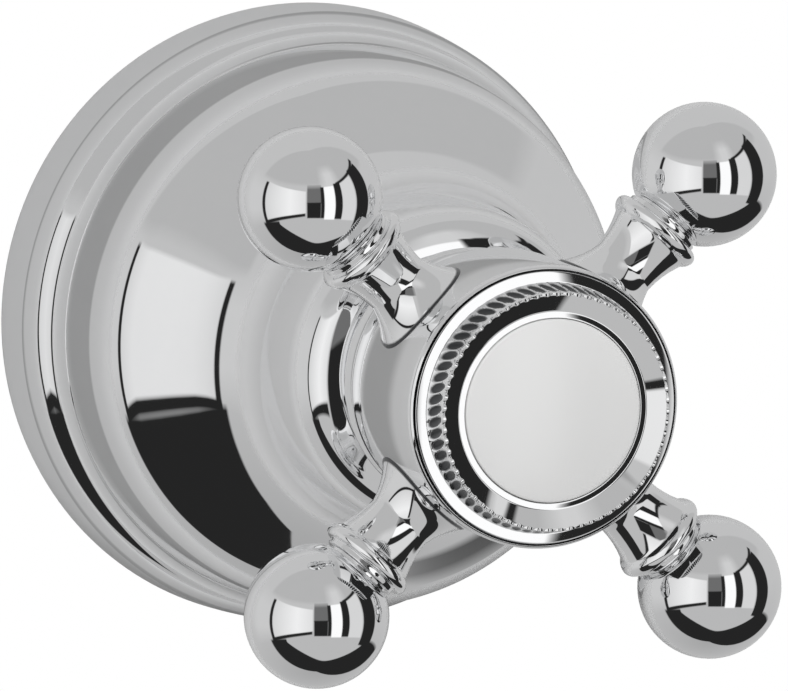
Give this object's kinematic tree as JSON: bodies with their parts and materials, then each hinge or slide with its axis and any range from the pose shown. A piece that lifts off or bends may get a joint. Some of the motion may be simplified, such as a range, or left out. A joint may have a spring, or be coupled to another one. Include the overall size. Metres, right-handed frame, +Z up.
{
  "type": "concealed diverter valve",
  "caption": "Two-way concealed diverter valve with a chromed bell trim and a ball-ended cross handle with a white porcelain button.",
  "frame": {"origin": "centre of the flange's back face, on the valve axis and in the plane of the finished wall", "axes": "Z up, X to the user's right, Y into the wall; the valve axis runs out to the user along -Y"},
  "size_m": [0.0694, 0.1212, 0.0694],
  "materials": {
    "chrome_trim": "polished",
    "white_porcelain": "glossy",
    "bare_brass": "turned",
    "cast_brass": "cast",
    "fastener_steel": "plain",
    "white_acetal": "matte",
    "black_rubber": "matte"
  },
  "bodies": {
    "fixed": {"wall_flange": "chrome_trim", "flange_gasket": "black_rubber", "bell_shroud": "chrome_trim", "support_sleeve": "bare_brass", "carrier_ring": "black_rubber", "guide_bush": "white_acetal", "bonnet": "bare_brass", "bonnet_seal": "black_rubber", "cartridge_sleeve": "white_acetal", "cartridge_rings": "black_rubber", "port_seals": "black_rubber", "thrust_washer": "white_acetal", "valve_body": "cast_brass"},
    "handle": {"handle_hub": "chrome_trim", "arm_right_upper": "chrome_trim", "arm_left_upper": "chrome_trim", "arm_left_lower": "chrome_trim", "arm_right_lower": "chrome_trim", "ball_right_upper": "chrome_trim", "ball_left_upper": "chrome_trim", "ball_left_lower": "chrome_trim", "ball_right_lower": "chrome_trim", "arm_studs": "fastener_steel", "bezel_ring": "chrome_trim", "rope_ring": "chrome_trim", "porcelain_button": "white_porcelain", "button_ring": "black_rubber", "handle_screw": "fastener_steel", "screw_washer": "fastener_steel", "spline_insert": "white_acetal", "spindle_extension": "bare_brass", "grub_screw": "fastener_steel", "spindle": "bare_brass", "spindle_rings": "black_rubber", "spindle_circlip": "fastener_steel", "stop_pin": "fastener_steel", "diverter_rotor": "bare_brass"}
  },
  "joints": [
    {"name": "handle_turn", "type": "hinge", "parent": "fixed", "child": "handle", "pos_m": [0, -0.071, 0], "axis": [0, 1, 0], "range_deg": [0, 90]}
  ]
}
